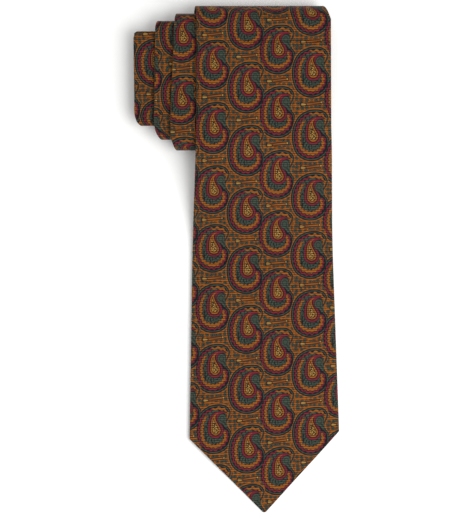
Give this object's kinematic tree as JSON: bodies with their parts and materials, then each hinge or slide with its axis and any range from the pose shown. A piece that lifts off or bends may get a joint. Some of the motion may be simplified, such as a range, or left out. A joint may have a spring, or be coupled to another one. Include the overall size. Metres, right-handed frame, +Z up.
{
  "type": "necktie",
  "caption": "Paisley necktie folded in half and wrapped into a flat roll behind its wide blade, with interlining, tippings, keeper and slip stitch; the blade and its tip lift.",
  "frame": {"origin": "under the middle of the whole folded tie, on the table it lies on", "axes": "+Y from the wide tip towards the top fold of the roll, +Z up from the table, face side up, +X to the right of the blade"},
  "size_m": [0.1216, 0.299, 0.0175],
  "materials": {
    "shell_silk": "printed ribbed silk with a paisley pattern, soft sheen",
    "interlining_wool": "brushed wool interlining, matt",
    "tipping_satin": "dark brown satin lining",
    "label_ribbon": "blank woven ribbon, taffeta weave",
    "sewing_thread": "twisted silk thread"
  },
  "bodies": {
    "roll": {"wide_shell_roll": "shell_silk", "neck_shell": "shell_silk", "narrow_shell_roll": "shell_silk", "wide_interlining_roll": "interlining_wool", "narrow_interlining_roll": "interlining_wool", "slip_stitch_roll": "sewing_thread", "panel_seam_threads": "sewing_thread"},
    "blade": {"wide_shell_mid": "shell_silk", "narrow_shell_tail": "shell_silk", "wide_interlining_mid": "interlining_wool", "narrow_interlining_tail": "interlining_wool", "narrow_tipping": "tipping_satin", "narrow_bar_tack": "sewing_thread", "keeper_loop": "shell_silk", "keeper_stitches": "sewing_thread", "slip_stitch_mid": "sewing_thread", "slip_stitch_tail": "sewing_thread"},
    "blade_tip": {"wide_shell_tip": "shell_silk", "wide_interlining_tip": "interlining_wool", "wide_tipping": "tipping_satin", "wide_bar_tack": "sewing_thread", "woven_label": "label_ribbon", "label_stitches": "sewing_thread", "slip_stitch_tip": "sewing_thread"}
  },
  "joints": [
    {"name": "blade_lift", "type": "hinge", "parent": "roll", "child": "blade", "pos_m": [0.0159, 0.128, 0.0175], "axis": [-1, 0, 0], "range_deg": [0, 120]},
    {"name": "tip_lift", "type": "hinge", "parent": "blade", "child": "blade_tip", "pos_m": [0.0155, -0.002, 0.00265], "axis": [-1, 0, 0], "range_deg": [0, 110]}
  ]
}
